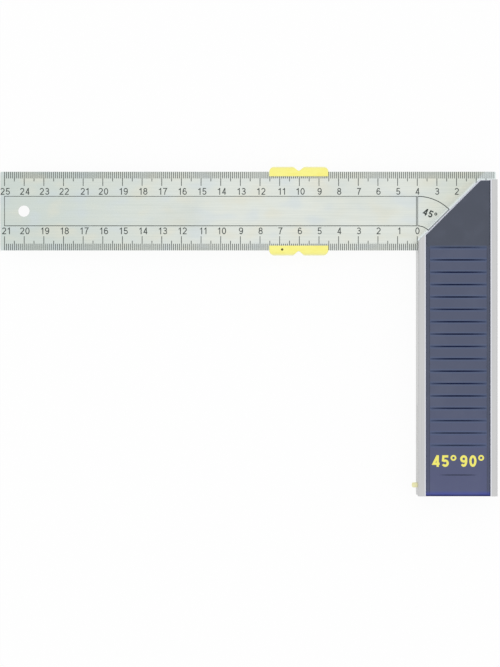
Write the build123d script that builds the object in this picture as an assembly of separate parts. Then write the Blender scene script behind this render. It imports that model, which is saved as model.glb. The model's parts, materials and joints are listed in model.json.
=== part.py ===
from build123d import *
from math import sqrt
import os

# A carpenter's try and mitre square, in millimetres, lying on its rear face with its front face up.
# It is drawn from its inside corner: x = 0 is the fence, which is the stock's inner face, y = 0 is the
# blade's lower edge, and z = 0 is the rear face. The finished pieces then move together, so that the
# middle of the square's box, on the rear face, is the origin.

# Blade
blade_reach = 212.2  # from the fence to the free end
blade_width = 40.0
blade_thickness = 1.2
blade_corner_radius = 0.6
hang_hole_diameter = 5.8
hang_hole_inset = 12.0  # from the free end to the hole's middle

# Stock, an H-section extrusion: two rails joined by a web
stock_length = 160.2
stock_thickness = 16.0
rail_width = 3.75  # beside the fence
outer_rail_width = 3.6
rail_edge_radius = 0.5
rail_inner_chamfer = 0.1
web_thickness = 7.0
blade_proud = 4.4  # the blade stands this far out of the stock's end
mitre_rise = 4.4  # the mitre starts this far above the blade's lower edge
mitre_land = 8.8  # square end left beside the mitre
slot_clearance = 0.05  # round the blade in its saw slot

# Grips, one in each of the stock's channels
grip_side_gap = 0.05
grip_mitre_inset = 0.7  # back from the mitre
grip_end_inset = 0.5  # back from the square end beside the mitre
grip_drop = 0.3  # the field lies this far below the rails, so that the rails carry the square
grip_edge_chamfer = 0.3  # round the top, except beside the fence's rail
field_rise = 0.3  # the grooved field above the rest of the grip
field_fence_margin = 2.0  # from the grip's edge on the fence's side
field_outer_margin = 1.75
field_foot_margin = 0.9
grip_wall = 2.4  # round the hollows underneath
hollow_count = 5
hollow_depth = 1.6
hollow_rib = 1.6
bead_radius = 0.45  # snap bead along each side
bead_clearance = 0.1
groove_count = 17
groove_pitch = 6.25
groove_height = 25.75  # from the stock's far end to the lowest groove
groove_overreach = 1.2  # a groove would run this far past the field on each side
groove_width = 0.8
groove_depth = 0.8
foot_groove_height = 10.8
foot_groove_chord = 21.0
foot_groove_width = 0.7
foot_groove_depth = 0.3

# Blade rivets
rivet_diameter = 4.0
rivet_clearance = 0.03
rivet_head_diameter = 7.0
rivet_head_height = 1.1
rivet_head_gap = 0.3  # between a head and its hollow in the grip
rivet_crown_share = 0.6  # a head's flat crown, of its diameter
rivet_shares = ((0.5, 0.27), (0.78, 0.22), (0.78, 0.7))  # across the stock, and up the blade's seat in it

# Slider, the marking stop
slider_length = 30.0
slider_reading = 60.3  # from the fence to the slider's middle
slider_clearance = 0.12  # round the blade
slider_back_thickness = 2.8
slider_corner_radius = 2.8
lip_stand = 2.6  # beyond the blade's edge
lip_cover = 2.4  # over the blade's face
lip_thickness = 1.3
lip_round = 2.2
notch_width = 5.8
notch_depth = 2.5  # to where its flanks would meet
notch_root_radius = 0.95
notch_shoulder_radius = 1.2
dimple_diameter = 1.2
dimple_depth = 0.7
dimple_offset = 8.45  # from the slider's middle, towards the free end
dimple_inset = 2.0  # from the lip's inner edge

# Slider spring, bowed against the blade's rear face
spring_length = 20.0
spring_width = 8.0
spring_thickness = 0.4
spring_crown_gap = 0.06
spring_pocket_depth = 1.5
spring_pocket_gap = 0.3

# Support arm, folded into a slot in the fence and level with the blade
arm_length = 38.0  # from its pivot to its tip
arm_width = 8.0
arm_setback = 0.6  # behind the fence
arm_tip_height = 4.0  # above the stock's far end
arm_corner_radius = 1.2
nib_height = 2.5
nib_reach = 2.7  # out of the fence
nib_round = 0.8
swing_clearance = 0.3
pin_diameter = 3.0
pin_clearance = 0.05
pin_seat_clearance = 0.01
washer_diameter = 6.6
washer_thickness = 0.3
washer_gap = 0.05

# Extra depth of a cut past the surface that it opens
overrun = 1.0

# Places that follow from the sizes above
stock_top = blade_width - blade_proud
stock_foot = stock_top - stock_length
mitre_run = stock_top - mitre_rise
stock_width = mitre_run + mitre_land
middle_z = stock_thickness / 2
web_low, web_high = middle_z - web_thickness / 2, middle_z + web_thickness / 2
blade_low, blade_high = middle_z - blade_thickness / 2, middle_z + blade_thickness / 2
channel_left, channel_right = rail_width, stock_width - outer_rail_width
bead_z = (web_high + stock_thickness) / 2
grip_left, grip_right = channel_left + grip_side_gap, channel_right - grip_side_gap
field_left, field_right = grip_left + field_fence_margin, grip_right - field_outer_margin
field_z = stock_thickness - grip_drop
rivet_places = [(across * stock_width, along * stock_top) for across, along in rivet_shares]
slider_x = -slider_reading
slider_low = blade_low - slider_clearance - slider_back_thickness
slider_high = blade_high + slider_clearance + lip_thickness
slider_seat = blade_low - slider_clearance
arm_low, arm_high = blade_low, blade_high
pivot_x = arm_setback + arm_width / 2
tip_y = stock_foot + arm_tip_height
pivot_y = tip_y + arm_length
box_middle = (
    (stock_width - blade_reach) / 2,
    (blade_width + lip_stand + stock_foot) / 2,
)


def block(x_span, y_span, z_span):
    """A box between three pairs of low and high places."""
    spans = (x_span, y_span, z_span)
    sizes = [high - low for low, high in spans]
    middles = [(high + low) / 2 for low, high in spans]
    return Pos(*middles) * Box(*sizes)


def post(x, y, z_span, radius):
    """An upright cylinder between two heights."""
    low, high = z_span
    return Pos(x, y, (low + high) / 2) * Cylinder(radius, high - low)


def rib_rod(x, z, y_span, radius):
    """A cylinder that lies along the stock."""
    low, high = y_span
    return Pos(x, (low + high) / 2, z) * Rot(90, 0, 0) * Cylinder(radius, high - low)


def make_blade():
    """The rule, whose outer end is flush with the stock's outer face."""
    free_end = -blade_reach
    outline = Pos((free_end + stock_width) / 2, blade_width / 2) * RectangleRounded(
        stock_width - free_end, blade_width, blade_corner_radius
    )
    rule = extrude(Pos(0, 0, blade_low) * outline, blade_thickness, dir=(0, 0, 1))
    through = (blade_low - overrun, blade_high + overrun)
    holes = [post(free_end + hang_hole_inset, blade_width / 2, through, hang_hole_diameter / 2)]
    holes += [post(x, y, through, rivet_diameter / 2 + rivet_clearance) for x, y in rivet_places]
    return rule - holes


def make_channel():
    """A cutter for the front channel, with the edges of its mouth broken."""
    mouth_z, edge_z = stock_thickness + overrun, stock_thickness - rail_inner_chamfer
    spread = mouth_z - edge_z
    section = Polygon(
        (channel_left, web_high),
        (channel_right, web_high),
        (channel_right, edge_z),
        (channel_right + spread, mouth_z),
        (channel_left - spread, mouth_z),
        (channel_left, edge_z),
    )
    return extrude(Plane.XZ.offset(-stock_top - overrun) * section, stock_length + 2 * overrun)


def make_stock():
    """The extrusion, cut to its mitre, with the blade's slot, the arm's slot and the drilled holes."""
    section = Pos(stock_width / 2, middle_z) * RectangleRounded(
        stock_width, stock_thickness, rail_edge_radius
    )
    bar = extrude(Plane.XZ.offset(-stock_top) * section, stock_length)
    along = (stock_foot - overrun, stock_top + overrun)
    through = (-overrun, stock_thickness + overrun)
    front_channel = make_channel()
    channels = [front_channel, mirror(front_channel, about=Plane.XY.offset(middle_z))]
    bead_grooves = [
        rib_rod(x, z, along, bead_radius + bead_clearance)
        for x in (grip_left, grip_right)
        for z in (bead_z, stock_thickness - bead_z)
    ]
    mitre = Polygon(
        (-overrun, mitre_rise - overrun),
        (mitre_run + overrun, stock_top + overrun),
        (-overrun, stock_top + overrun),
    )
    mitre_cut = extrude(Pos(0, 0, -overrun) * mitre, stock_thickness + 2 * overrun, dir=(0, 0, 1))
    blade_slot = block(
        (-overrun, stock_width + overrun),
        (-slot_clearance, stock_top + overrun),
        (blade_low - slot_clearance, blade_high + slot_clearance),
    )
    side_room = washer_thickness + 2 * washer_gap
    swing_room = arm_width / 2 + swing_clearance
    arm_slot = block(
        (-overrun, pivot_x + swing_room),
        (stock_foot - overrun, pivot_y + swing_room),
        (arm_low - side_room, arm_high + side_room),
    )
    holes = [post(x, y, through, rivet_diameter / 2 + rivet_clearance) for x, y in rivet_places]
    holes.append(post(pivot_x, pivot_y, (web_low, web_high), pin_diameter / 2 + pin_seat_clearance))
    return bar - channels - bead_grooves - mitre_cut - blade_slot - arm_slot - holes


def grip_groove(y, chord, width, depth):
    """A cutter for one groove: a disc on its edge, so that the groove is deepest in its middle."""
    radius = (chord**2 / 4 + depth**2) / (2 * depth)
    disc = Rot(90, 0, 0) * Cylinder(radius, width)
    return Pos((field_left + field_right) / 2, y, field_z - depth + radius) * disc


def make_front_grip():
    """The grip in the front channel: a plate with a raised and grooved field, hollow underneath."""
    top = stock_top - grip_end_inset
    mitre_offset = mitre_rise - grip_mitre_inset * sqrt(2)  # the mitred edge is y = x + mitre_offset
    left_top = grip_left + mitre_offset
    outline = Polygon(
        (grip_left, stock_foot),
        (grip_right, stock_foot),
        (grip_right, top),
        (top - mitre_offset, top),
        (grip_left, left_top),
    )
    grip = extrude(Pos(0, 0, web_high) * outline, field_z - field_rise - web_high, dir=(0, 0, 1))
    top_edges = grip.faces().sort_by(Axis.Z)[-1].edges().sort_by(Axis.X)
    grip = chamfer(top_edges[1:], grip_edge_chamfer)
    groove_places = [stock_foot + groove_height + i * groove_pitch for i in range(groove_count)]
    field_span = (stock_foot + field_foot_margin, groove_places[-1])
    grip += block((field_left, field_right), field_span, (web_high, field_z))
    grip += rib_rod(grip_left, bead_z, (stock_foot, left_top - bead_radius), bead_radius)
    grip += rib_rod(grip_right, bead_z, (stock_foot, top - bead_radius), bead_radius)
    groove_chord = field_right - field_left + 2 * groove_overreach
    grooves = [grip_groove(y, groove_chord, groove_width, groove_depth) for y in groove_places]
    foot_groove_y = stock_foot + foot_groove_height
    grooves.append(grip_groove(foot_groove_y, foot_groove_chord, foot_groove_width, foot_groove_depth))
    hollow_low = stock_foot + grip_wall
    hollow_room = -grip_wall - hollow_low - (hollow_count - 1) * hollow_rib
    hollow_length = hollow_room / hollow_count
    hollows = [
        block(
            (grip_left + grip_wall, grip_right - grip_wall),
            (low, low + hollow_length),
            (web_high - overrun, web_high + hollow_depth),
        )
        for low in (hollow_low + i * (hollow_length + hollow_rib) for i in range(hollow_count))
    ]
    head_room = (web_high - overrun, web_high + rivet_head_height + rivet_head_gap)
    head_radius = rivet_head_diameter / 2 + rivet_head_gap
    heads = [post(x, y, head_room, head_radius) for x, y in rivet_places]
    return grip - grooves - hollows - heads


def make_rivets():
    """Three rivets through the web and the blade, with a low head on each side of the web."""
    shank = post(0, 0, (web_low, web_high), rivet_diameter / 2)
    head = Cone(rivet_head_diameter / 2, rivet_head_diameter / 2 * rivet_crown_share, rivet_head_height)
    upper = Pos(0, 0, web_high + rivet_head_height / 2) * head
    lower = Pos(0, 0, web_low - rivet_head_height / 2) * Rot(180, 0, 0) * head
    rivet = shank + upper + lower
    return Compound([(Pos(x, y) * rivet).solid() for x, y in rivet_places])


def pencil_notch(y, outward):
    """A cutter for the V notch in a lip's outer edge, where outward is 1 up the blade or -1 down it."""
    half = notch_width / 2
    reach = half + notch_shoulder_radius
    radii = (notch_shoulder_radius, notch_root_radius, notch_shoulder_radius)
    flanks = FilletPolyline(
        (-reach, 0), (-half, 0), (0, -notch_depth), (half, 0), (reach, 0), radius=radii
    )
    mouth = Polyline((reach, 0), (reach, overrun), (-reach, overrun), (-reach, 0))
    outline = make_face([flanks, mouth])
    cutter = extrude(outline, slider_high - slider_low + 2 * overrun, dir=(0, 0, 1))
    turn = 0 if outward > 0 else 180
    return Pos(slider_x, y, slider_low - overrun) * Rot(0, 0, turn) * cutter


def make_slider():
    """The marking stop: a plate behind the blade with a lip round each edge, notched for a pencil."""
    across = blade_width + 2 * lip_stand
    height = slider_high - slider_low
    centre_y, centre_z = blade_width / 2, (slider_low + slider_high) / 2
    section = Pos(centre_y, centre_z) * RectangleRounded(across, height, lip_round)
    bar = extrude(Plane.YZ.offset(slider_x) * section, slider_length / 2, both=True)
    outline = RectangleRounded(slider_length, across, slider_corner_radius)
    plan = Pos(slider_x, centre_y, slider_low) * outline
    bar &= extrude(plan, height, dir=(0, 0, 1))
    along = (slider_x - slider_length / 2 - overrun, slider_x + slider_length / 2 + overrun)
    blade_room = block(
        along,
        (-slider_clearance, blade_width + slider_clearance),
        (slider_seat, blade_high + slider_clearance),
    )
    window = block(along, (lip_cover, blade_width - lip_cover), (blade_high, slider_high + overrun))
    notches = [pencil_notch(blade_width + lip_stand, 1), pencil_notch(-lip_stand, -1)]
    dimple = post(
        slider_x - dimple_offset,
        lip_cover - dimple_inset,
        (slider_high - dimple_depth, slider_high + overrun),
        dimple_diameter / 2,
    )
    pocket_half_length = spring_length / 2 + spring_pocket_gap
    pocket_half_width = spring_width / 2 + spring_pocket_gap
    pocket = block(
        (slider_x - pocket_half_length, slider_x + pocket_half_length),
        (centre_y - pocket_half_width, centre_y + pocket_half_width),
        (slider_seat - spring_pocket_depth, slider_seat + overrun),
    )
    return bar - blade_room - window - notches - dimple - pocket


def make_slider_spring():
    """A bowed strip: its ends stand on the pocket's floor and its crown bears on the blade's rear face."""
    half = spring_length / 2
    floor_z = slider_seat - spring_pocket_depth
    crown_z = blade_low - spring_crown_gap
    inner_crown_z = crown_z - spring_thickness
    end_z = floor_z + spring_thickness
    outline = make_face(
        [
            ThreePointArc((-half, floor_z), (0, inner_crown_z), (half, floor_z)),
            Line((half, floor_z), (half, end_z)),
            ThreePointArc((half, end_z), (0, crown_z), (-half, end_z)),
            Line((-half, end_z), (-half, floor_z)),
        ]
    )
    plane = Plane((slider_x, blade_width / 2, 0), x_dir=(1, 0, 0), z_dir=(0, -1, 0))
    return extrude(plane * outline, spring_width / 2, both=True)


def make_support_arm():
    """The folding arm with its nib, drilled for the pivot pin."""
    fence_side, inner_side = pivot_x - arm_width / 2, pivot_x + arm_width / 2
    body = Pos(pivot_x, (tip_y + pivot_y) / 2) * Rectangle(arm_width, arm_length)
    body = fillet(body.vertices().sort_by(Axis.Y)[:2].sort_by(Axis.X)[-1], arm_corner_radius)
    nib_out, nib_in = -nib_reach, fence_side + arm_corner_radius
    nib = Pos((nib_out + nib_in) / 2, tip_y + nib_height / 2) * Rectangle(nib_in - nib_out, nib_height)
    nib = fillet(nib.vertices().sort_by(Axis.X)[:2], nib_round)
    outline = body + nib + Pos(pivot_x, pivot_y) * Circle(arm_width / 2)
    outline -= Pos(pivot_x, pivot_y) * Circle(pin_diameter / 2 + pin_clearance)
    return extrude(Pos(0, 0, arm_low) * outline, arm_high - arm_low, dir=(0, 0, 1))


def make_support_pin():
    """The arm's pivot, as long as the web is thick, so that the two grips trap it."""
    return post(pivot_x, pivot_y, (web_low, web_high), pin_diameter / 2)


def make_support_washers():
    """A spring washer on each side of the arm."""
    ring = Circle(washer_diameter / 2) - Circle(pin_diameter / 2 + pin_clearance)
    lows = (arm_low - washer_gap - washer_thickness, arm_high + washer_gap)
    places = [Pos(pivot_x, pivot_y, low) for low in lows]
    return Compound([extrude(place * ring, washer_thickness, dir=(0, 0, 1)).solid() for place in places])


front_grip = make_front_grip()
pieces = {
    "stock_extrusion": make_stock(),
    "blade": make_blade(),
    "blade_rivets": make_rivets(),
    "front_grip": front_grip,
    "rear_grip": mirror(front_grip, about=Plane.XY.offset(middle_z)),
    "slider_body": make_slider(),
    "slider_spring": make_slider_spring(),
    "support_arm": make_support_arm(),
    "support_pivot_pin": make_support_pin(),
    "support_washers": make_support_washers(),
}

os.makedirs("parts", exist_ok=True)
home = Pos(-box_middle[0], -box_middle[1], 0)
for name, piece in pieces.items():
    export_step(home * piece, f"parts/{name}.step")
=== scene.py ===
"""Dresses the carpenter square: its finishes, its printed scales and marks, and a plain studio."""

import json
import logging
import math
from collections.abc import Iterable
from dataclasses import dataclass
from enum import Enum
from typing import Any

import bmesh
import bpy
from mathutils import Color, Matrix, Vector
from mathutils.geometry import delaunay_2d_cdt


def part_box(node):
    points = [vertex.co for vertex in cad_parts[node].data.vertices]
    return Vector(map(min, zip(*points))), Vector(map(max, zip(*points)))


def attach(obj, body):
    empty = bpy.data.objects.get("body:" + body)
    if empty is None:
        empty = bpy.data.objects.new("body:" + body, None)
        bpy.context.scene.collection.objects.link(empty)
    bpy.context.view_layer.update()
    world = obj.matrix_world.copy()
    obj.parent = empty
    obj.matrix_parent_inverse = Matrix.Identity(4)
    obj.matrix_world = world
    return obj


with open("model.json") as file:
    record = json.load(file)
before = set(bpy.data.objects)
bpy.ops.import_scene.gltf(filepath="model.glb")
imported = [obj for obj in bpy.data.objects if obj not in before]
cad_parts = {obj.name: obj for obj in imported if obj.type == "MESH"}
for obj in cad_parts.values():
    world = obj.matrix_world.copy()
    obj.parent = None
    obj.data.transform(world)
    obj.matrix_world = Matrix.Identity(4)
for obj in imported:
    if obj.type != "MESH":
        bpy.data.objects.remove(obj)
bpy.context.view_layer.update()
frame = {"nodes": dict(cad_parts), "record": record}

log = logging.getLogger("square")

MM = 0.001
MITRE = math.radians(45)

Colour = tuple[float, float, float, float]
Place = tuple[float, float, float]
Point = tuple[float, float]
Quad = tuple[Vector, Vector, Vector, Vector]


def srgb(red: int, green: int, blue: int) -> Colour:
    """A colour by its levels on a screen, from 0 to 255, as the linear one that shaders take."""
    full = 255
    return (*Color((red / full, green / full, blue / full)).from_srgb_to_scene_linear(), 1.0)


class Face(Enum):
    """The two broad sides of the square, by the way that they face along Z."""

    FRONT = 1
    REAR = -1

    @property
    def word(self) -> str:
        """The side's name as pieces carry it."""
        return self.name.lower()


class Edge(Enum):
    """The blade's two scales, by the edge that their ticks start from."""

    OUTER = "outer"
    INNER = "inner"


class Wire:
    """An output socket of a node tree, with arithmetic that adds Math nodes to the tree."""

    def __init__(self, graph: "NodeGraph", socket: bpy.types.NodeSocket) -> None:
        """Keeps the tree and the socket."""
        self.graph = graph
        self.socket = socket

    def math(self, operation: str, first: Any, second: Any = 0.0) -> "Wire":
        """Adds a Math node on two numbers or wires."""
        return self.graph.add("ShaderNodeMath", {"operation": operation}, {0: first, 1: second})

    def __add__(self, other: Any) -> "Wire":
        """This value plus another."""
        return self.math("ADD", self, other)

    __radd__ = __add__

    def __sub__(self, other: Any) -> "Wire":
        """This value less another."""
        return self.math("SUBTRACT", self, other)

    def __rsub__(self, other: Any) -> "Wire":
        """Another value less this one."""
        return self.math("SUBTRACT", other, self)

    def __mul__(self, other: Any) -> "Wire":
        """This value times another."""
        return self.math("MULTIPLY", self, other)

    __rmul__ = __mul__

    def __mod__(self, other: Any) -> "Wire":
        """What is left of this value after whole lots of another."""
        return self.math("FLOORED_MODULO", self, other)

    def __abs__(self) -> "Wire":
        """This value without its sign."""
        return self.math("ABSOLUTE", self)

    def __lt__(self, other: Any) -> "Wire":
        """1 where this value is below another, and 0 elsewhere."""
        return self.math("LESS_THAN", self, other)

    def smooth(self, start: float, end: float) -> "Wire":
        """Goes softly from 0 to 1 while this value goes from start to end, up or down."""
        sockets = {"Value": self, "From Min": start, "From Max": end}
        return self.graph.add("ShaderNodeMapRange", {"interpolation_type": "SMOOTHSTEP"}, sockets)


class NodeGraph:
    """A node tree and the one way in which nodes are added to it."""

    def __init__(self, tree: bpy.types.NodeTree) -> None:
        """Keeps the tree."""
        self.tree = tree

    def plug(self, socket: bpy.types.NodeSocket, value: Any) -> None:
        """Links a wire into a socket, or sets the socket to a plain value.

        Args:
            socket: the socket.
            value: the wire or the value.
        """
        if isinstance(value, Wire):
            self.tree.links.new(value.socket, socket)
        else:
            socket.default_value = value

    def add(
        self,
        kind: str,
        settings: dict[str, Any] | None = None,
        sockets: dict[str | int, Any] | None = None,
        output: str | int = 0,
    ) -> Wire:
        """Adds one node.

        Args:
            kind: the node's type.
            settings: the node's own properties, set before its sockets.
            sockets: values or wires for its inputs, by name or place.
            output: the output that is wanted.

        Returns:
            That output.
        """
        node = self.tree.nodes.new(kind)
        for name, value in (settings or {}).items():
            setattr(node, name, value)
        for name, value in (sockets or {}).items():
            self.plug(node.inputs[name], value)
        return Wire(self, node.outputs[output])

    def split(self, vector: Wire) -> tuple[Wire, Wire, Wire]:
        """Takes a vector apart into its three numbers."""
        first = self.add("ShaderNodeSeparateXYZ", {}, {0: vector})
        return tuple(Wire(self, socket) for socket in first.socket.node.outputs)

    def join(self, x: Any, y: Any, z: Any) -> Wire:
        """Puts three numbers or wires together as a vector."""
        return self.add("ShaderNodeCombineXYZ", {}, {0: x, 1: y, 2: z})

    def blend(self, factor: Any, first: Any, second: Any) -> Wire:
        """Mixes two colours; the factor is how much of the second one shows."""
        sockets = {0: factor, 6: first, 7: second}
        return self.add("ShaderNodeMix", {"data_type": "RGBA"}, sockets, output=2)


@dataclass(frozen=True)
class Grain:
    """A noise: the size of its grains along X, Y and Z, and how many finer layers it has."""

    x: float
    y: float
    z: float
    detail: float = 3.0


@dataclass(frozen=True)
class Veil:
    """A tint that comes in while a pattern goes from one value to another."""

    tint: Colour
    start: float
    end: float
    weight: float = 1.0


@dataclass(frozen=True)
class Wear:
    """The tint of rubbed edges, how far it reaches from them and how much of it shows."""

    tint: Colour
    reach: float
    weight: float


class SurfaceGraph(NodeGraph):
    """The node tree of a material, with the few patterns that the finishes share."""

    def place(self) -> Wire:
        """The point of the surface, in the frame's own metres."""
        return self.add("ShaderNodeTexCoord", output="Object")

    def noise(self, grain: Grain) -> Wire:
        """Adds a noise whose grains have a real size.

        Args:
            grain: the noise's grains.

        Returns:
            The noise, around a half.
        """
        finer_share = 0.55
        scale = (1 / grain.x, 1 / grain.y, 1 / grain.z)
        spread = self.add("ShaderNodeMapping", {}, {"Vector": self.place(), "Scale": scale})
        sockets = {"Vector": spread, "Scale": 1.0, "Detail": grain.detail, "Roughness": finer_share}
        return self.add("ShaderNodeTexNoise", {}, sockets)

    def veil(self, colour: Any, pattern: Wire, veil: Veil, where: Any = 1.0) -> Wire:
        """Lays a veil over a colour, as far as the pattern brings it in and the mask lets it show."""
        return self.blend(pattern.smooth(veil.start, veil.end) * veil.weight * where, colour, veil.tint)

    def rounded(self, radius: float) -> Wire:
        """The surface's normal, with its sharp edges rounded off."""
        return self.add("ShaderNodeBevel", {"samples": 6}, {"Radius": radius})

    def wear(self, colour: Any, wear: Wear, where: Any = 1.0) -> Wire:
        """Rubs the edges that hands and work touch.

        Args:
            colour: the colour of the fresh surface.
            wear: the wear.
            where: how much of it may show, from 0 to 1.

        Returns:
            The worn colour.
        """
        flat, sharp = 0.01, 0.25
        sockets = {0: self.rounded(wear.reach), 1: self.add("ShaderNodeNewGeometry", output="Normal")}
        facing = self.add("ShaderNodeVectorMath", {"operation": "DOT_PRODUCT"}, sockets, "Value")
        return self.blend((1 - facing).smooth(flat, sharp) * wear.weight * where, colour, wear.tint)

    def bump(self, height: Wire, depth: float, normal: Wire) -> Wire:
        """Disturbs a normal by a pattern from 0 to 1, which is made that deep."""
        return self.add("ShaderNodeBump", {}, {"Height": height, "Distance": depth, "Normal": normal})

    def surface(self, **sockets: Any) -> None:
        """Sets or links the shader's sockets, which are named with _ for a space."""
        for name, value in sockets.items():
            self.plug(self.tree.nodes["Principled BSDF"].inputs[name.replace("_", " ")], value)


def mitre_corner() -> Vector:
    """Finds the corner between the fence and the mitre, from the mitre's mount.

    Returns:
        The corner's X and Y.
    """
    mitre = next(mount for mount in frame["record"]["mounts"] if mount["name"] == "mitre")
    x, y, _ = mitre["pos_m"]
    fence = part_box("stock_extrusion")[0].x
    return Vector((fence, y - (x - fence)))


@dataclass(frozen=True)
class Finish:
    """A surface finish, made once as a procedural material."""

    slot: str

    def material(self) -> bpy.types.Material:
        """Gives the finish's material, and wires it the first time.

        Returns:
            The material.
        """
        name = f"{self.slot}_finish"
        made = bpy.data.materials.get(name)
        if made is None:
            made = bpy.data.materials.new(name)
            made.use_nodes = True
            self.wire(SurfaceGraph(made.node_tree))
        return made

    def wire(self, graph: SurfaceGraph) -> None:
        """Adds the nodes of the finish; each finish has its own."""
        raise NotImplementedError


@dataclass(frozen=True)
class BladeSteel(Finish):
    """Satin stainless steel, brushed along the blade and greener at its free end, with painted shade beside
    the stock and a painted highlight along the mitre.
    """

    slot: str = "blade_steel"
    free_end: Colour = srgb(206, 215, 209)
    middle: Colour = srgb(224, 228, 221)
    brushing: Grain = Grain(30 * MM, 0.25 * MM, 0.25 * MM, 4.0)
    hairline: Grain = Grain(9 * MM, 0.09 * MM, 0.09 * MM, 2.0)
    clouds: Grain = Grain(34 * MM, 22 * MM, 22 * MM)
    heat: Grain = Grain(15 * MM, 9 * MM, 9 * MM, 1.0)
    # Painted shade: a duller, darker tint on the blade beside the stock, standing in for the stock's dark
    # reflection in the steel.
    beside_stock: Veil = Veil(srgb(200, 207, 190), -8 * MM, 22 * MM, 0.4)
    cool: Veil = Veil(srgb(206, 217, 226), 0.5, 0.75, 0.4)
    warm: Veil = Veil(srgb(228, 224, 204), 0.5, 0.25, 0.4)
    smudges: Veil = Veil(srgb(192, 201, 197), 0.52, 0.8, 0.25)
    streaks: Veil = Veil(srgb(192, 201, 197), 0.3, 0.75, 0.28)
    # Painted highlight: a pale strip on the blade along the mitre, which lifts the shade that the stock's
    # wall casts there.
    rubbed: Veil = Veil(srgb(242, 252, 255), 1.6 * MM, 0.1 * MM, 0.6)
    worn: Wear = Wear(srgb(236, 239, 236), 0.15 * MM, 0.6)
    roughness: float = 0.29
    brushing_roughness: float = 0.16
    cloud_roughness: float = 0.1
    brush_depth: float = 0.004 * MM
    rounding: float = 0.12 * MM

    def wire(self, graph: SurfaceGraph) -> None:
        """Adds the brushing, the changes of tint, smudges, bright worn edges, painted shade beside the stock
        and a painted highlight along the mitre.

        Args:
            graph: the material's tree.
        """
        low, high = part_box("blade")
        corner = mitre_corner()
        x, y, _ = graph.split(graph.place())
        past_fence = x - corner.x
        from_mitre = (y - corner.y - past_fence) * math.sin(MITRE)
        brushing, clouds, heat = (graph.noise(grain) for grain in (self.brushing, self.clouds, self.heat))
        tint = graph.blend(x.smooth(low.x, (low.x + high.x) / 2), self.free_end, self.middle)
        # Painted shade beside the stock.
        tint = graph.veil(tint, past_fence, self.beside_stock)
        tint = graph.veil(tint, heat, self.cool)
        tint = graph.veil(tint, heat, self.warm)
        tint = graph.veil(tint, clouds, self.smudges)
        tint = graph.veil(tint, brushing, self.streaks)
        # Painted highlight along the mitre, only past the fence.
        tint = graph.veil(tint, from_mitre, self.rubbed, 1 - (past_fence < 0.0))
        graph.surface(
            Base_Color=graph.wear(tint, self.worn),
            Metallic=1.0,
            Roughness=self.roughness + self.brushing_roughness * brushing + self.cloud_roughness * clouds,
            Normal=graph.bump(graph.noise(self.hairline), self.brush_depth, graph.rounded(self.rounding)),
        )


@dataclass(frozen=True)
class StockAluminium(Finish):
    """Satin anodised aluminium: die lines along the extrusion, a milled mitre and a sawn foot."""

    slot: str = "stock_aluminium"
    body: Colour = srgb(205, 205, 205)
    # Painted highlight: the pale lilac laid on the rails' inner edges and inside the channels.
    bright: Colour = srgb(236, 238, 250)
    milled: Veil = Veil(srgb(240, 243, 250), 0.4, 0.6)
    sawn: Veil = Veil(srgb(226, 228, 232), 0.75, 0.95)
    die_lines: Grain = Grain(0.22 * MM, 90 * MM, 0.22 * MM)
    saw_lines: Grain = Grain(16 * MM, 16 * MM, 0.9 * MM, 4.0)
    skin: Grain = Grain(0.12 * MM, 0.12 * MM, 0.12 * MM, 1.0)
    clouds: Grain = Grain(18 * MM, 40 * MM, 18 * MM)
    scores: Veil = Veil(srgb(186, 188, 190), 0.4, 0.8)
    die_score: float = 0.55
    milled_score: float = 0.25
    sawn_score: float = 0.6
    dulled: Veil = Veil(srgb(186, 188, 190), 0.5, 0.8, 0.15)
    worn: Wear = Wear(srgb(236, 237, 238), 0.25 * MM, 0.7)
    fence_rail: float = 3.75 * MM
    outer_rail: float = 3.6 * MM
    bright_strip: float = 0.7 * MM
    strip_weight: float = 0.7
    roughness: float = 0.33
    line_roughness: float = 0.12
    cloud_roughness: float = 0.08
    skin_share: float = 0.35
    line_depth: float = 0.006 * MM
    rounding: float = 0.2 * MM

    def wire(self, graph: SurfaceGraph) -> None:
        """Adds die lines, the pale cut ends, painted highlights along the channels' mouths, grain and worn
        edges.

        Args:
            graph: the material's tree.
        """
        low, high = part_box("stock_extrusion")
        x, _, _ = graph.split(graph.place())
        left, right = low.x + self.fence_rail, high.x - self.outer_rail
        beyond = abs(x - (left + right) / 2) - (right - left) / 2
        mouth = beyond.smooth(self.bright_strip, self.bright_strip / 2)
        channel = beyond.smooth(0.0, -self.bright_strip)
        _, along, _ = graph.split(graph.add("ShaderNodeTexCoord", output="Normal"))
        along = abs(along)
        cut, square = (along.smooth(veil.start, veil.end) for veil in (self.milled, self.sawn))
        patterns = (self.die_lines, self.saw_lines, self.skin, self.clouds)
        die, saw, skin, clouds = (graph.noise(grain) for grain in patterns)
        lines = die + cut * (saw - die)
        score = self.die_score + (self.milled_score - self.die_score) * cut
        score = score + (self.sawn_score - self.milled_score) * square
        # Painted highlight along the channels' mouths, fullest inside the channel and left off the cut ends.
        mouth_highlight = mouth * (1 - cut) * (self.strip_weight + (1 - self.strip_weight) * channel)
        colour = graph.veil(self.body, along, self.milled)
        colour = graph.veil(colour, along, self.sawn)
        colour = graph.veil(colour, lines, self.scores, score)
        colour = graph.veil(colour, clouds, self.dulled)
        colour = graph.blend(mouth_highlight, colour, self.bright)
        relief = lines + self.skin_share * skin
        graph.surface(
            Base_Color=graph.wear(colour, self.worn),
            Metallic=1.0,
            Roughness=self.roughness + self.line_roughness * lines + self.cloud_roughness * clouds,
            Normal=graph.bump(relief, self.line_depth, graph.rounded(self.rounding)),
        )


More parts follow.
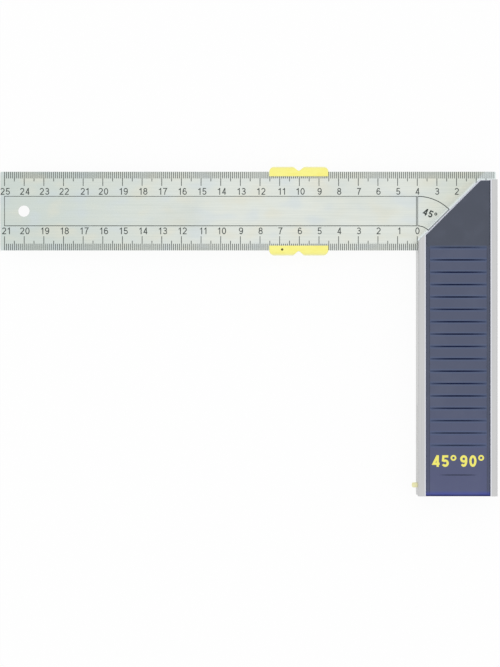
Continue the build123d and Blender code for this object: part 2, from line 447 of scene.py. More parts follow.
@dataclass(frozen=True)
class GripPlastic(Finish):
    """Navy moulded plastic: a fine sparked texture, pillowed ribs, grooves darkened with painted shade beside
    painted highlights, and painted shade on the sunken border and the foot's edge.
    """

    slot: str = "grip_plastic"
    ribs: Colour = srgb(81, 87, 109)
    foot: Veil = Veil(srgb(83, 88, 120), 60 * MM, 0.0)
    # Painted shade: all that lies below the raised field, the border first, turns darker and greyer.
    border: Veil = Veil(srgb(74, 79, 92), 0.1 * MM, 0.24 * MM, 0.45)
    plain: Veil = Veil(srgb(74, 79, 92), 0.0, 1 * MM)
    foot_tint: Veil = Veil(srgb(64, 74, 158), 3.4 * MM, 0.2 * MM)
    # Painted shade: the dark band along the foot's chamfered edge, which faces away from the light.
    foot_edge: Veil = Veil(srgb(8, 16, 84), 1.2 * MM, 0.3 * MM)
    # Painted highlight: a paler blue on the ribs beside each groove.
    groove_side: Veil = Veil(srgb(80, 99, 136), 1.6 * MM, 0.45 * MM, 0.4)
    # Painted shade: the near-black blue that darkens the grooves.
    groove: Veil = Veil(srgb(6, 30, 78), 0.01 * MM, 0.2 * MM)
    scuffs: Veil = Veil(srgb(110, 116, 136), 0.45, 0.85, 0.16)
    worn: Wear = Wear(srgb(110, 116, 136), 0.2 * MM, 0.35)
    sparks: Grain = Grain(0.3 * MM, 0.3 * MM, 0.3 * MM, 2.0)
    clouds: Grain = Grain(15 * MM, 15 * MM, 15 * MM)
    first_groove: float = 25.75 * MM
    pitch: float = 6.25 * MM
    grooves: int = 17
    groove_half: float = 0.45 * MM
    end_shade: float = 0.5
    shaded_rows: int = 4
    groove_fade_shares: Point = (1.4, 0.25)
    foot_groove: float = 10.8 * MM
    foot_groove_shade: float = 0.3
    field_middle: float = 20.2 * MM
    field_half: float = 14.4 * MM
    field_blur: float = 0.1 * MM
    roughness: float = 0.5
    spark_roughness: float = 0.14
    cloud_gloss: float = 0.12
    shine: float = 0.25
    texture_depth: float = 0.03 * MM
    pillow_depth: float = 0.05 * MM
    rounding: float = 0.18 * MM

    def wire(self, graph: SurfaceGraph) -> None:
        """Adds the change from top to foot, the grooves' painted shade and the painted highlights beside
        them, the painted shade of the border and the foot's edge, the pillowing, the texture and wear.

        Args:
            graph: the material's tree.
        """
        low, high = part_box("front_grip")
        rear_low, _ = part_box("rear_grip")
        middle = (high.z + rear_low.z) / 2
        x, y, z = graph.split(graph.place())
        height = y - low.y
        across = abs(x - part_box("stock_extrusion")[0].x - self.field_middle)
        depth = (high.z - middle) - abs(z - middle)
        first, last = self.first_groove, self.first_groove + (self.grooves - 1) * self.pitch
        offset = abs((height - first + self.pitch / 2) % self.pitch - self.pitch / 2)
        field = across.smooth(self.field_half, self.field_half - self.field_blur)
        ribbed = height.smooth(first - self.pitch, first) * height.smooth(last + self.pitch / 2, last)
        ribbed_field = ribbed * field
        lit = 1 - self.end_shade
        rising = self.end_shade + lit * height.smooth(first, first + self.shaded_rows * self.pitch)
        shade = rising - lit * height.smooth(last - self.pitch / 2, last)
        below = (abs(height - self.foot_groove) < self.groove_half) * self.foot_groove_shade
        fade = across.smooth(*(share * self.field_half for share in self.groove_fade_shares))
        # Where the grooves' painted shade goes: deepest mid-field, weaker towards the field's sides and its
        # first and last rows.
        line = (ribbed * shade * (offset < self.groove_half) + below) * field * fade
        # The band of the foot edge's painted shade, which is kept free of wear.
        rim = height.smooth(self.foot_edge.start, self.foot_edge.end)
        sparks, clouds = graph.noise(self.sparks), graph.noise(self.clouds)
        colour = graph.veil(self.ribs, height, self.foot)
        # Painted shade on the sunken border.
        colour = graph.veil(colour, depth, self.border)
        colour = graph.veil(colour, height - last, self.plain)
        colour = graph.veil(colour, height, self.foot_tint)
        # Painted shade along the foot's edge.
        colour = graph.veil(colour, height, self.foot_edge)
        # Painted highlight on the ribs beside the grooves.
        colour = graph.veil(colour, offset, self.groove_side, ribbed_field)
        colour = graph.veil(colour, clouds, self.scuffs)
        colour = graph.wear(colour, self.worn, 1 - rim)
        texture = graph.bump(sparks, self.texture_depth, graph.rounded(self.rounding))
        pillow = ribbed_field * offset.smooth(0.0, self.pitch / 2)
        graph.surface(
            # The grooves' painted shade goes on last.
            Base_Color=graph.veil(colour, depth, self.groove, line),
            Roughness=self.roughness + self.spark_roughness * sparks - self.cloud_gloss * clouds,
            Specular_IOR_Level=self.shine,
            Normal=graph.bump(pillow, self.pillow_depth, texture),
        )


@dataclass(frozen=True)
class StopPlastic(Finish):
    """Yellow moulded plastic, half glossy, with faint flow lines, worn edges, painted highlights on its sides
    and nib, and painted shade in its dimple.
    """

    slot: str = "stop_plastic"
    body: Colour = srgb(249, 243, 138)
    # Painted shade: the dark olive that fills the dimple's hollow.
    dirt: Colour = srgb(112, 100, 14)
    flow: Grain = Grain(5 * MM, 2.2 * MM, 2.2 * MM, 2.0)
    skin: Grain = Grain(0.35 * MM, 0.35 * MM, 0.35 * MM, 2.0)
    flow_lines: Veil = Veil(srgb(245, 235, 118), 0.42, 0.72, 0.6)
    # Painted highlight: faces that turn away from the top fade towards pale cream, standing in for the sheen
    # on the rounded lips.
    sides: Veil = Veil(srgb(250, 248, 202), 0.97, 0.3, 0.8)
    # Painted light: a near-white tint on the nib lifts the shade of the corner that it sits in.
    nib: Veil = Veil(srgb(254, 251, 206), 1 * MM, 0.0, 0.8)
    worn: Wear = Wear(srgb(250, 248, 202), 0.25 * MM, 0.4)
    nib_reach: float = 2.7 * MM
    dimple_offset: float = 8.45 * MM
    dimple_height: float = 0.4 * MM
    dimple_reach: float = 0.66 * MM
    dimple_depth: float = 0.05 * MM
    roughness: float = 0.3
    skin_roughness: float = 0.16
    skin_depth: float = 0.008 * MM
    rounding: float = 0.25 * MM

    def wire(self, graph: SurfaceGraph) -> None:
        """Adds the flow lines, the mould's skin, worn edges, the painted highlights on the sides and the nib,
        and the dimple's painted shade.

        Args:
            graph: the material's tree.
        """
        _, _, top = graph.split(graph.add("ShaderNodeTexCoord", output="Normal"))
        x, y, z = graph.split(graph.place())
        low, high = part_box("slider_body")
        arm_low, arm_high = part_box("support_arm")
        past_nib = x - arm_low.x - self.nib_reach
        dimple = ((low.x + high.x) / 2 - self.dimple_offset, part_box("blade")[0].y + self.dimple_height, 0.0)
        sockets = {0: graph.join(x, y, 0.0), 1: dimple}
        away = graph.add("ShaderNodeVectorMath", {"operation": "DISTANCE"}, sockets, "Value")
        hollow = (away < self.dimple_reach) * (z < high.z - self.dimple_depth)
        skin = graph.noise(self.skin)
        colour = graph.veil(self.body, graph.noise(self.flow), self.flow_lines)
        # Painted highlight on the sides and rims.
        colour = graph.veil(colour, abs(top), self.sides)
        colour = graph.wear(colour, self.worn)
        # Painted light on the nib.
        colour = graph.veil(colour, past_nib, self.nib, y < arm_high.y)
        graph.surface(
            # Painted shade in the dimple.
            Base_Color=graph.blend(hollow, colour, self.dirt),
            Roughness=self.roughness + self.skin_roughness * skin,
            Normal=graph.bump(skin, self.skin_depth, graph.rounded(self.rounding)),
        )


@dataclass(frozen=True)
class BareMetal(Finish):
    """Small turned or stamped metal: fine scratches, darker where it has been handled."""

    light: Colour = srgb(214, 214, 214)
    dark: Colour = srgb(160, 162, 166)
    lengthwise: Grain = Grain(2.4 * MM, 0.2 * MM, 0.2 * MM)
    crosswise: Grain = Grain(0.2 * MM, 2.4 * MM, 0.2 * MM)
    stains: Grain = Grain(3 * MM, 3 * MM, 3 * MM)
    stain_span: Point = (0.4, 0.75)
    stain_weight: float = 0.6
    edge_reach: float = 0.15 * MM
    edge_weight: float = 0.5
    roughness: float = 0.24
    scratch_roughness: float = 0.2
    scratch_depth: float = 0.004 * MM
    rounding: float = 0.12 * MM

    def wire(self, graph: SurfaceGraph) -> None:
        """Adds crossing scratches, handling stains and bright edges.

        Args:
            graph: the material's tree.
        """
        lines = (graph.noise(self.lengthwise) + graph.noise(self.crosswise)) * 0.5
        stained = Veil(self.dark, *self.stain_span, self.stain_weight)
        colour = graph.veil(self.light, graph.noise(self.stains), stained)
        graph.surface(
            Base_Color=graph.wear(colour, Wear(self.light, self.edge_reach, self.edge_weight)),
            Metallic=1.0,
            Roughness=self.roughness + self.scratch_roughness * lines,
            Normal=graph.bump(lines, self.scratch_depth, graph.rounded(self.rounding)),
        )


@dataclass(frozen=True)
class PrintedInk(Finish):
    """Matt printing ink with a little thinning where it has been worn."""

    fresh: Colour = srgb(48, 56, 54)
    # For the ink this is only the colour of rubbed ink.
    rubbed: Colour = srgb(84, 92, 88)
    thin: Grain = Grain(2.4 * MM, 1.6 * MM, 2 * MM, 4.0)
    thin_span: Point = (0.42, 0.78)
    grain: Grain = Grain(0.1 * MM, 0.1 * MM, 0.1 * MM, 1.0)
    roughness: float = 0.55
    grain_roughness: float = 0.2

    def wire(self, graph: SurfaceGraph) -> None:
        """Adds the thin spots and the ink's dull grain.

        Args:
            graph: the material's tree.
        """
        graph.surface(
            Base_Color=graph.veil(self.fresh, graph.noise(self.thin), Veil(self.rubbed, *self.thin_span)),
            Roughness=self.roughness + self.grain_roughness * graph.noise(self.grain),
        )


SCALE_INK = PrintedInk("scale_ink")
GRIP_PAINT = PrintedInk("grip_paint", fresh=srgb(242, 234, 108), rubbed=srgb(232, 222, 104))
RIVET_METAL = BareMetal("rivet_aluminium")
SPRING_STEEL = BareMetal("spring_steel", light=srgb(196, 198, 202), dark=srgb(142, 146, 152))


def shown(name: str, data: Any) -> bpy.types.Object:
    """Adds an object to the scene.

    Args:
        name: its name.
        data: its mesh, lamp or camera.

    Returns:
        The object.
    """
    made = bpy.data.objects.new(name, data)
    bpy.context.scene.collection.objects.link(made)
    return made


class Solid:
    """Gathers closed shapes into the mesh of one piece."""

    def __init__(self, name: str) -> None:
        """Starts an empty piece of that name."""
        self.name = name
        self.mesh = bmesh.new()

    def take(self, mesh: bpy.types.Mesh, place: Matrix) -> None:
        """Moves a mesh to a place and adds it."""
        mesh.transform(place)
        self.mesh.from_mesh(mesh)

    def sheet(self, quads: list[Quad], low: float, high: float) -> None:
        """Adds one closed plate that covers flat quads, which may overlap.

        Args:
            quads: the quads, in metres.
            low: height of the plate's underside.
            high: height of its top.
        """
        tolerance = 1e-5
        corners = [corner / MM for quad in quads for corner in quad]
        loops = [list(range(start, start + 4)) for start in range(0, len(corners), 4)]
        points, _, faces, _, _, sources = delaunay_2d_cdt(corners, [], loops, 0, tolerance)
        kept = [list(face) for face, source in zip(faces, sources) if source]
        used = sorted({i for face in kept for i in face})
        under, over = (
            {i: self.mesh.verts.new((points[i].x * MM, points[i].y * MM, height)) for i in used}
            for height in (low, high)
        )
        spans = {(a, b) for face in kept for a, b in zip(face, face[1:] + face[:1])}
        for face in kept:
            self.mesh.faces.new([over[i] for i in face])
            self.mesh.faces.new([under[i] for i in reversed(face)])
        for a, b in spans:
            if (b, a) not in spans:
                self.mesh.faces.new((over[b], over[a], under[a], under[b]))

    def piece(self, place: Matrix, finish: Finish, body: str) -> None:
        """Closes the piece and puts it on a body.

        Args:
            place: where the gathered shapes go.
            finish: the piece's finish.
            body: the body that it rides on.
        """
        weld = 0.0002 * MM
        self.mesh.transform(place)
        bmesh.ops.remove_doubles(self.mesh, verts=self.mesh.verts, dist=weld)
        bmesh.ops.recalc_face_normals(self.mesh, faces=self.mesh.faces)
        data = bpy.data.meshes.new(self.name)
        self.mesh.to_mesh(data)
        self.mesh.free()
        data.materials.append(finish.material())
        made = shown(self.name, data)
        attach(made, body)
        log.info("%s: printed on %s, %d faces", self.name, body, len(data.polygons))


@dataclass(frozen=True)
class Pen:
    """A pen of even width that turns centre lines into bands."""

    width: float

    def band(self, line: list[Vector]) -> list[Quad]:
        """Widens a centre line, which is a ring where its two ends meet.

        Args:
            line: the points of the centre line.

        Returns:
            The band as a row of quads.
        """
        sharpest, closed_share = 0.4, 0.01
        ring = (line[0] - line[-1]).length < self.width * closed_share
        points = line[:-1] if ring else line
        follow = points[1:] + points[:1] if ring else points[1:]
        ways = [(b - a).normalized() for a, b in zip(points, follow)]
        sides: list[tuple[Vector, Vector]] = []
        for i, point in enumerate(points):
            before = ways[i - 1] if ring or i else ways[0]
            after = ways[min(i, len(ways) - 1)]
            along = (before + after).normalized()
            across = Vector((-along.y, along.x)) * (self.width / 2 / max(along.dot(after), sharpest))
            sides.append((point + across, point - across))
        next_sides = sides[1:] + sides[:1] if ring else sides[1:]
        return [(a[0], a[1], b[1], b[0]) for a, b in zip(sides, next_sides)]


@dataclass(frozen=True)
class Figures:
    """Plain upright figures, drawn with a pen of even width. Shares are of the figures' height."""

    height: float
    weight_share: float = 0.13
    width_share: float = 0.62
    one_share: float = 0.38
    gap_share: float = 0.165
    one_gap_share: float = 0.25
    space_share: float = 0.01
    ring_share: float = 0.18
    ring_margin_share: float = 0.05
    ring_middle_share: float = 0.77
    ring_weight: float = 0.7

    def arc(self, centre: Point, radii: Point, start: float, end: float) -> list[Vector]:
        """Draws a part of an ellipse.

        Args:
            centre: its middle.
            radii: its radii along X and Y.
            start: the angle that it starts from, in degrees from X towards Y.
            end: the angle that it ends at.

        Returns:
            The points from start to end.
        """
        step = 15.0
        count = max(2, round(abs(end - start) / step))
        angles = [math.radians(start + (end - start) * i / count) for i in range(count + 1)]
        middle, reach = Vector(centre), Vector(radii)
        return [middle + reach * Vector((math.cos(angle), math.sin(angle))) for angle in angles]

    def lines(self, figure: str) -> list[list[Vector]]:
        """Gives the centre lines of a figure of height 1 that stands on Y = 0.

        Args:
            figure: a digit or the degree sign.

        Returns:
            Its centre lines.
        """
        half, width = self.weight_share / 2, self.width_share
        low, high = half, 1 - half
        middle, bowl = width / 2, width / 2 - half
        upper, lower, loop = (middle, 0.735), (middle, 0.295), (middle, 0.32)
        ring = (self.ring_share + self.ring_margin_share, self.ring_middle_share)

        def path(*points: Point) -> list[Vector]:
            """A line through the points."""
            return [Vector(p) for p in points]

        def turned(lines: list[list[Vector]]) -> list[list[Vector]]:
            """The lines, turned half round."""
            return [[Vector((width - p.x, 1 - p.y)) for p in line] for line in lines]

        six = [
            self.arc(loop, (bowl, loop[1] - half), 0, 360),
            self.arc((middle, 0.5), (bowl, 0.5 - half), 195, 42),
        ]
        shapes = {
            "0": [self.arc((middle, 0.5), (bowl, 0.5 - half), 0, 360)],
            "1": [
                path((self.one_share - half, 0), (self.one_share - half, 1)),
                path((0.04, 0.75), (0.2, 0.8), (self.one_share - half, 0.93)),
            ],
            "2": [
                self.arc((middle, high - bowl), (bowl, bowl), 165, -38) + path((0.1, low + 0.04)),
                path((0.02, low), (0.6, low)),
            ],
            "3": [
                self.arc(upper, (bowl * 0.88, high - upper[1]), 160, -90),
                self.arc(lower, (bowl, lower[1] - half), 90, -160),
                path((middle - 0.1, 0.53), (middle, 0.53)),
            ],
            "4": [path((0.45, 0), (0.45, 1)), path((0.43, 0.95), (0.1, 0.27), (0.61, 0.27))],
            "5": [
                path((0.57, high), (0.15, high), (0.11, 0.46)),
                self.arc(loop, (bowl, loop[1] - half), 145, -155),
            ],
            "6": six,
            "7": [path((0.03, high), (0.57, high), (0.4, 0.66), (0.29, 0.34), (0.24, 0))],
            "8": [
                self.arc(upper, (bowl * 0.86, high - upper[1]), 0, 360),
                self.arc(lower, (bowl, lower[1] - half), 0, 360),
            ],
            "9": turned(six),
            "°": [self.arc(ring, (self.ring_share, self.ring_share), 0, 360)],
            " ": [],
        }
        return shapes[figure]

    def step_shares(self, text: str) -> list[float]:
        """Finds how far each figure of a text moves the next one along.

        Args:
            text: the figures.

        Returns:
            One step for each figure; the last one has no gap after it.
        """
        ring = 2 * (self.ring_share + self.ring_margin_share)
        narrow = {"1": self.one_share, "°": ring, " ": self.space_share}
        gaps = [self.one_gap_share if figure == "1" else self.gap_share for figure in text[:-1]]
        widths = [narrow.get(figure, self.width_share) for figure in text]
        return [width + gap for width, gap in zip(widths, [*gaps, 0.0])]

    def bands(self, text: str) -> list[Quad]:
        """Draws a text that stands on Y = 0 and is centred on X = 0, its ones pushed to the right.

        Args:
            text: its figures.

        Returns:
            The quads of all its strokes.
        """
        steps = self.step_shares(text)
        x = sum(self.step_shares(text.replace("1", "0"))) / 2 - sum(steps)
        quads: list[Quad] = []
        for figure, step in zip(text, steps):
            pen = Pen(self.weight_share * (self.ring_weight if figure == "°" else 1.0))
            for line in self.lines(figure):
                quads += pen.band([p + Vector((x, 0)) for p in line])
            x += step
        return [tuple(corner * self.height for corner in quad) for quad in quads]


def moved(quads: list[Quad], spot: Vector, turn: float, face: Face) -> list[Quad]:
    """Puts quads at a spot, turned in radians, so that they read rightly on a side of the square."""
    way = Matrix.Rotation(turn * face.value, 2) @ Matrix.Diagonal((face.value, 1))
    return [tuple(way @ corner + spot for corner in quad) for quad in quads]


def seat(node: str, face: Face) -> Matrix:
    """Where a drawing on Z = 0 goes on a side of a node."""
    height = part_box(node)[1 if face is Face.FRONT else 0].z
    return Matrix.Translation((0, 0, height)) @ Matrix.Diagonal((1, 1, face.value, 1))


class TickTree:
    """Geometry nodes that draw one scale: a row of bars whose length follows their count."""

    SIZES = ("Pitch", "Short", "Half", "Long", "Width", "Low", "High")
    HALF_EVERY, LONG_EVERY = 5, 10

    def __init__(self) -> None:
        """Builds the tree with a named input for each size."""
        self.tree = bpy.data.node_groups.new("scale_ticks", "GeometryNodeTree")
        self.names: dict[str, str] = {}
        for name in ("First", "Count"):
            self.socket(name, "NodeSocketInt")
        for name in self.SIZES:
            self.socket(name, "NodeSocketFloat")
        self.socket("Ink", "NodeSocketMaterial")
        self.tree.interface.new_socket("Ticks", in_out="OUTPUT", socket_type="NodeSocketGeometry")
        self.wire(NodeGraph(self.tree))

    def socket(self, name: str, kind: str) -> None:
        """Adds a named input and keeps the identifier that a modifier sets it by."""
        made = self.tree.interface.new_socket(name, in_out="INPUT", socket_type=kind)
        self.names[name] = made.identifier

    def wire(self, graph: NodeGraph) -> None:
        """Adds the row, the rule for a bar's length, and the bars themselves.

        Args:
            graph: the tree that the nodes go into.
        """
        def given(name: str) -> Wire:
            """The tree's input of that name."""
            return graph.add("NodeGroupInput", output=name)

        start = graph.join(given("First") * given("Pitch"), 0.0, given("Low"))
        step = graph.join(given("Pitch"), 0.0, 0.0)
        sockets = {"Count": given("Count"), "Start Location": start, "Offset": step}
        row = graph.add("GeometryNodeMeshLine", {"mode": "OFFSET"}, sockets)
        number = graph.add("GeometryNodeInputIndex") + given("First")
        at_half, at_long = (number % every < 0.5 for every in (self.HALF_EVERY, self.LONG_EVERY))
        short, half, long = (given(name) for name in ("Short", "Half", "Long"))
        length = short + at_half * (half - short) + at_long * (long - half)
        thickness = given("High") - given("Low")
        cube = graph.add("GeometryNodeMeshCube", {}, {"Size": (1.0, 1.0, 1.0)})
        lift = graph.join(0.0, 0.5, 0.5)
        bar = graph.add("GeometryNodeTransform", {}, {"Geometry": cube, "Translation": lift})
        sockets = {"Points": row, "Instance": bar, "Scale": graph.join(given("Width"), length, thickness)}
        bars = graph.add("GeometryNodeInstanceOnPoints", {}, sockets)
        real = graph.add("GeometryNodeRealizeInstances", {}, {"Geometry": bars})
        inked = graph.add("GeometryNodeSetMaterial", {}, {"Geometry": real, "Material": given("Ink")})
        end = self.tree.nodes.new("NodeGroupOutput")
        graph.plug(end.inputs["Ticks"], inked)

    def mesh(self, values: dict[str, Any]) -> bpy.types.Mesh:
        """Draws one scale.

        Args:
            values: what the tree's inputs are set to, by name.

        Returns:
            The scale's bars as a plain mesh, counted along X from the origin.
        """
        carrier = shown("ticks", bpy.data.meshes.new("ticks"))
        modifier = carrier.modifiers.new("ticks", "NODES")
        modifier.node_group = self.tree
        for name, value in values.items():
            modifier[self.names[name]] = value
        drawn = carrier.evaluated_get(bpy.context.evaluated_depsgraph_get())
        mesh = bpy.data.meshes.new_from_object(drawn)
        bpy.data.objects.remove(carrier)
        return mesh


@dataclass
class Rule:
    """The blade: its steel, and the scales, panel and angle mark printed on both sides."""

    ink_low: float = -0.01 * MM
    ink_high: float = 0.02 * MM
    division: float = 1 * MM
    short_tick: float = 3.4 * MM
    half_tick: float = 4.9 * MM
    long_tick: float = 7.2 * MM
    tick_width: float = 0.36 * MM
    outer_divisions: int = 250
    inner_divisions: int = 210
    first_outer_number: int = 2
    number_height: float = 3.45 * MM
    number_shift: float = 0.3 * MM
    stock_number_shift: float = 0.1 * MM
    outer_number_foot: float = 28.3 * MM
    inner_number_foot: float = 8.2 * MM
    panel_low: float = 12.5 * MM
    panel_high: float = 27.5 * MM
    line: float = 0.3 * MM
    lower_line: float = 0.37 * MM
    arc_line: float = 0.42 * MM
    mitre_line: float = 0.5 * MM
    fence_line: float = 0.32 * MM
    fence_line_places: Point = (-0.4 * MM, 0.24 * MM)
    arc_steps: int = 24
    mitre_line_stand: float = 0.1 * MM
    angle: str = "45°"
    angle_turn: float = -MITRE / 2
    angle_height: float = 3.6 * MM
    angle_weight_share: float = 0.19
    angle_ring_share: float = 0.15
    angle_place: Point = (5.8 * MM, 17.0 * MM)

    def __post_init__(self) -> None:
        """Takes the blade's edges, the fence and the mitre's corner from the frame."""
        self.low, self.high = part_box("blade")
        self.corner = mitre_corner()
        self.fence = self.corner.x
        self.ticks = TickTree()

    def zero(self, edge: Edge) -> float:
        """Where a scale counts from: the stock's outer face, or its fence."""
        return self.high.x if edge is Edge.OUTER else self.fence

    def scale_ticks(self, edge: Edge, face: Face) -> None:
        """Draws the ticks of one scale.

        Args:
            edge: the scale.
            face: the side of the blade.
        """
        outer = edge is Edge.OUTER
        first = 1 if outer else 0
        divisions = self.outer_divisions if outer else self.inner_divisions
        values = {
            "First": first,
            "Count": divisions + 1 - first,
            "Pitch": self.division if outer else -self.division,
            "Short": self.short_tick,
            "Half": self.half_tick,
            "Long": self.long_tick,
            "Width": self.tick_width,
            "Low": self.ink_low,
            "High": self.ink_high,
            "Ink": SCALE_INK.material(),
        }
        start = Matrix.Translation((self.zero(edge), self.high.y if outer else self.low.y, 0))
        turn = Matrix.Rotation(math.pi if outer else 0.0, 4, "Z")
        solid = Solid(f"{edge.value}_scale_ticks_{face.word}")
        solid.take(self.ticks.mesh(values), start @ turn)
        solid.piece(seat("blade", face), SCALE_INK, "stock")

    def scale_numbers(self, edge: Edge, face: Face) -> None:
        """Prints the centimetre numbers of one scale.

        Args:
            edge: the scale.
            face: the side of the blade.
        """
        outer = edge is Edge.OUTER
        last = (self.outer_divisions if outer else self.inner_divisions) // TickTree.LONG_EVERY
        foot = self.low.y + (self.outer_number_foot if outer else self.inner_number_foot)
        figures = Figures(self.number_height)
        solid = Solid(f"{edge.value}_scale_numbers_{face.word}")
        for number in range(self.first_outer_number if outer else 0, last + 1):
            x = self.zero(edge) - number * TickTree.LONG_EVERY * self.division
            beside_stock = x > self.fence - self.division
            shift = self.stock_number_shift if beside_stock else self.number_shift
            spot = Vector((x + shift, foot))
            solid.sheet(moved(figures.bands(str(number)), spot, 0.0, face), self.ink_low, self.ink_high)
        solid.piece(seat("blade", face), SCALE_INK, "stock")

    def polar(self, radius: float, angle: float) -> Vector:
        """A point about the mitre's corner, by its angle from the blade's own cross line."""
        return self.corner + Vector((math.sin(angle), math.cos(angle))) * radius

    def panel_lines(self, face: Face) -> None:
        """Draws the bare panel's frame, its end line at the fence and the arcs beside the mitre.

        Args:
            face: the side of the blade.
        """
        solid = Solid(f"panel_lines_{face.word}")
        fence_pen, arc_pen = Pen(self.fence_line), Pen(self.arc_line)
        before, after = (self.fence + place for place in self.fence_line_places)
        left = self.fence - self.inner_divisions * self.division
        low, high = self.low.y + self.panel_low, self.low.y + self.panel_high
        quads: list[Quad] = []
        for y, width in ((low, self.lower_line), (high, self.line)):
            quads += Pen(width).band([Vector((left, y)), Vector((before, y))])
        ends = (low - self.lower_line / 2, high + self.line / 2)
        quads += Pen(self.line).band([Vector((left, y)) for y in ends])
        for x in (before, after):
            quads += fence_pen.band([Vector((x, y)) for y in ends])
        for y in (low, high):
            radius = y - self.corner.y
            first = math.asin((after - self.fence) / radius)
            last = MITRE - math.asin(self.mitre_line_stand / radius)
            angles = [first + (last - first) * i / self.arc_steps for i in range(self.arc_steps + 1)]
            quads += arc_pen.band([self.polar(radius, a) for a in angles])
        across = Vector((-1, 1)).normalized() * self.mitre_line_stand
        reach = ((low, -self.arc_line / 2), (high, self.arc_line / 2))
        mitre = [self.polar(y - self.corner.y + grow, MITRE) + across for y, grow in reach]
        quads += Pen(self.mitre_line).band(mitre)
        solid.sheet(quads, self.ink_low, self.ink_high)
        solid.piece(seat("blade", face), SCALE_INK, "stock")

    def angle_mark(self, face: Face) -> None:
        """Prints the angle between the arcs.

        Args:
            face: the side of the blade.
        """
        solid = Solid(f"angle_mark_{face.word}")
        figures = Figures(self.angle_height, self.angle_weight_share, ring_share=self.angle_ring_share)
        spot = Vector((self.fence, self.low.y)) + Vector(self.angle_place)
        quads = moved(figures.bands(self.angle), spot, self.angle_turn, face)
        solid.sheet(quads, self.ink_low, self.ink_high)
        solid.piece(seat("blade", face), SCALE_INK, "stock")

    def dress(self) -> None:
        """Gives the blade its steel and prints both of its sides."""
        dress_node("blade", BladeSteel())
        for face in Face:
            for edge in Edge:
                self.scale_ticks(edge, face)
                self.scale_numbers(edge, face)
            self.panel_lines(face)
            self.angle_mark(face)


@dataclass
class Stock:
    """The aluminium stock with its two grips, their printed angle marks, and the hidden metal."""

    mark: str = "45° 90°"
    mark_height: float = 5.9 * MM
    mark_weight_share: float = 0.2
    mark_foot: float = 14.9 * MM
    paint_low: float = -0.02 * MM
    paint_high: float = 0.03 * MM

    def grip_mark(self, face: Face) -> None:
        """Prints the two angles that the square sets on a grip.

        Args:
            face: the side of the stock.
        """
        grip = f"{face.word}_grip"
        low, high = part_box(grip)
        spot = Vector(((low.x + high.x) / 2, low.y + self.mark_foot))
        figures = Figures(self.mark_height, self.mark_weight_share)
        solid = Solid(f"grip_mark_{face.word}")
        solid.sheet(moved(figures.bands(self.mark), spot, 0.0, face), self.paint_low, self.paint_high)
        solid.piece(seat(grip, face), GRIP_PAINT, "stock")

    def dress(self) -> None:
        """Gives the stock's pieces their finishes and prints the grips."""
        dress_node("stock_extrusion", StockAluminium())
        dress_node("blade_rivets", RIVET_METAL)
        for face in Face:
            dress_node(f"{face.word}_grip", GripPlastic())
            self.grip_mark(face)


@dataclass
class MarkingStop:
    """The yellow stop that slides on the blade, and its bow spring."""

    def dress(self) -> None:
        """Gives the stop and its spring their finishes."""
        dress_node("slider_body", StopPlastic())
        dress_node("slider_spring", SPRING_STEEL)


@dataclass
class FoldingSupport:
    """The support arm that folds out of the stock's foot, with its pin and washers."""

    def dress(self) -> None:
        """Gives the arm, pin and washers their finishes."""
        dress_node("support_arm", StopPlastic())
        dress_node("support_pivot_pin", SPRING_STEEL)
        dress_node("support_washers", SPRING_STEEL)


@dataclass(frozen=True)
class Lamp:
    """A square soft lamp: its place, the length of its side and its power in watts."""

    name: str
    place: Place
    side: float
    power: float


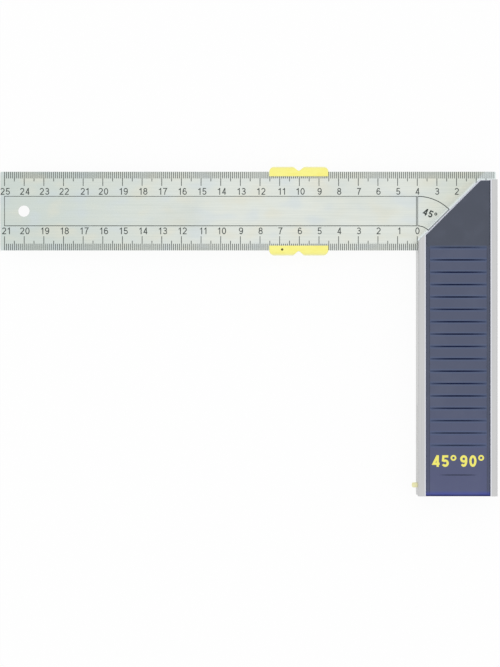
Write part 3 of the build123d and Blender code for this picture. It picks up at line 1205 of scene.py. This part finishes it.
@dataclass
class Studio:
    """A pale floor, soft light from the blade's side and a camera straight above the square."""

    distance: float = 1.03
    aim: Point = (1.0 * MM, -1.3 * MM)
    view_height: float = 339.4 * MM
    sensor: float = 36.0
    clip: Point = (0.01, 40.0)
    white: Colour = (1.0, 1.0, 1.0, 1.0)
    floor_half: float = 6.0
    floor_gap: float = 0.05 * MM
    floor_colour: Colour = srgb(243, 243, 243)
    floor_roughness: float = 0.9
    floor_glow: float = 0.92
    zenith: float = 1.05
    zenith_from: float = 0.9
    horizon: float = 0.7
    lamps: tuple[Lamp, ...] = (
        Lamp("key", (-0.9, 0.7, 1.1), 1.6, 2.0),
        Lamp("fill", (0.9, -0.9, 0.8), 1.6, 0.6),
    )

    def camera(self) -> None:
        """Looks straight down, with the stock at the right."""
        data = bpy.data.cameras.new("camera")
        data.sensor_width = self.sensor
        data.lens = self.sensor * self.distance / self.view_height
        data.clip_start, data.clip_end = self.clip
        made = shown("camera", data)
        made.location = (*self.aim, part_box("blade")[1].z + self.distance)
        bpy.context.scene.camera = made

    def floor(self) -> None:
        """Lays a pale floor that stays near white to the eye and keeps a soft shadow."""
        material = bpy.data.materials.new("floor")
        material.use_nodes = True
        graph = SurfaceGraph(material.node_tree)
        graph.surface(Base_Color=self.floor_colour, Roughness=self.floor_roughness)
        plain = Wire(graph, graph.tree.nodes["Principled BSDF"].outputs[0])
        rays = ("Camera", "Glossy", "Transmission")
        seen = [graph.add("ShaderNodeLightPath", output=f"Is {ray} Ray") for ray in rays]
        glow = graph.add("ShaderNodeEmission", {}, {"Color": self.white, "Strength": 1.0})
        factor = (seen[0] + seen[1] + seen[2]) * self.floor_glow
        mixed = graph.add("ShaderNodeMixShader", {}, {0: factor, 1: plain, 2: glow})
        graph.plug(graph.tree.nodes["Material Output"].inputs["Surface"], mixed)
        mesh = bpy.data.meshes.new("floor")
        half = self.floor_half
        outline = ((-half, -half), (half, -half), (half, half), (-half, half))
        corners = [(x, y, -self.floor_gap) for x, y in outline]
        mesh.from_pydata(corners, [], [(0, 1, 2, 3)])
        mesh.materials.append(material)
        made = shown("floor", mesh)

    def sky(self) -> None:
        """Lights the square from a pale dome that is brightest overhead."""
        world = bpy.data.worlds.new("studio")
        world.use_nodes = True
        bpy.context.scene.world = world
        graph = NodeGraph(world.node_tree)
        _, _, up = graph.split(graph.add("ShaderNodeTexCoord", output="Generated"))
        level = self.horizon + (self.zenith - self.horizon) * up.smooth(0.0, self.zenith_from)
        background = graph.tree.nodes["Background"]
        graph.plug(background.inputs["Strength"], level)
        graph.plug(background.inputs["Color"], self.white)

    def hang(self, lamp: Lamp) -> None:
        """Hangs a lamp that faces the square and isn't seen in its metal.

        Args:
            lamp: the lamp.
        """
        data = bpy.data.lights.new(lamp.name, "AREA")
        data.shape = "SQUARE"
        data.size = lamp.side
        data.energy = lamp.power
        made = shown(lamp.name, data)
        made.location = lamp.place
        made.rotation_mode = "QUATERNION"
        made.rotation_quaternion = (-Vector(lamp.place)).to_track_quat("-Z", "Y")
        made.visible_glossy = False

    def build(self) -> None:
        """Sets up the floor, the light, the camera and the plain view transform."""
        self.floor()
        self.sky()
        for lamp in self.lamps:
            self.hang(lamp)
        self.camera()
        bpy.context.scene.view_settings.view_transform = "Standard"


def dress_node(name: str, finish: Finish) -> None:
    """Gives a CAD node its finish.

    Args:
        name: the node.
        finish: what its whole surface gets.
    """
    slots = frame["nodes"][name].data.materials
    slots.clear()
    slots.append(finish.material())
    log.info("%s: %s", name, finish.slot)


def main() -> None:
    """Builds the studio, then dresses each sub-assembly in turn."""
    logging.basicConfig(level=logging.INFO, format="%(message)s")
    Studio().build()
    for assembly in (Rule(), Stock(), MarkingStop(), FoldingSupport()):
        log.info("%s", type(assembly).__name__)
        assembly.dress()


if __name__ == "__main__":
    main()
